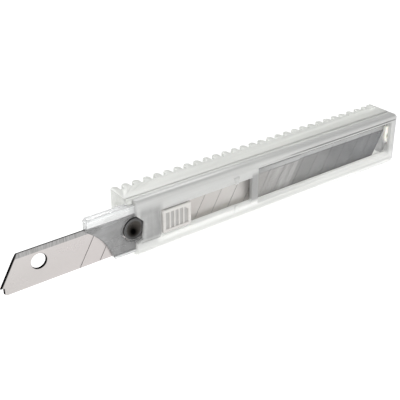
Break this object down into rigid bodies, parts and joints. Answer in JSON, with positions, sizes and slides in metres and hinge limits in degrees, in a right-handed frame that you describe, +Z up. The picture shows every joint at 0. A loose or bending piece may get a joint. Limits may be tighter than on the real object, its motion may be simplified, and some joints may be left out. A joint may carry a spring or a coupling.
{
  "type": "snap-off blade dispenser",
  "caption": "Slim translucent dispenser case for snap-off knife blades, with a thumb slider, two windows, a ribbed back and the front blade drawn out tang first through a guide tongue.",
  "frame": {"origin": "middle of the underside of the part's box, on the surface that the case stands on", "axes": "+X along the case towards the end plug, the blade leaves towards -X, the windows face -Y, +Z up from the spines to the cutting edges"},
  "size_m": [0.1174, 0.01, 0.0142],
  "materials": {
    "frosted_case": "frosted translucent polypropylene",
    "frosted_guide": "frosted translucent polypropylene",
    "clear_pane": "clear, polished",
    "clear_pad": "glossy translucent",
    "ivory_plastic": "ivory, satin",
    "blade_steel": "fine ground steel",
    "spring_steel": "dark tempered spring steel"
  },
  "bodies": {
    "case": {"rear_shell": "frosted_case", "front_cover": "frosted_case", "guide_tongue": "frosted_guide", "window_pane": "clear_pane", "follower_plate": "ivory_plastic", "leaf_spring": "spring_steel", "blade_02": "blade_steel", "blade_03": "blade_steel", "blade_04": "blade_steel", "blade_05": "blade_steel", "blade_06": "blade_steel", "blade_07": "blade_steel", "blade_08": "blade_steel", "blade_09": "blade_steel", "blade_10": "blade_steel"},
    "slider": {"slider_carriage": "frosted_guide", "thumb_pad": "clear_pad", "feed_finger": "spring_steel", "finger_rivets": "blade_steel"},
    "front_blade": {"blade_01": "blade_steel"},
    "plug": {"end_plug": "frosted_case", "latch_tab": "ivory_plastic"}
  },
  "joints": [
    {"name": "slider_slide", "type": "slide", "parent": "case", "child": "slider", "axis": [1, 0, 0], "range_m": [0, 0.0187]},
    {"name": "blade_feed", "type": "slide", "parent": "case", "child": "front_blade", "axis": [1, 0, 0], "range_m": [-0.045, 0.0319]},
    {"name": "plug_pull", "type": "slide", "parent": "case", "child": "plug", "axis": [1, 0, 0], "range_m": [0, 0.012]}
  ]
}
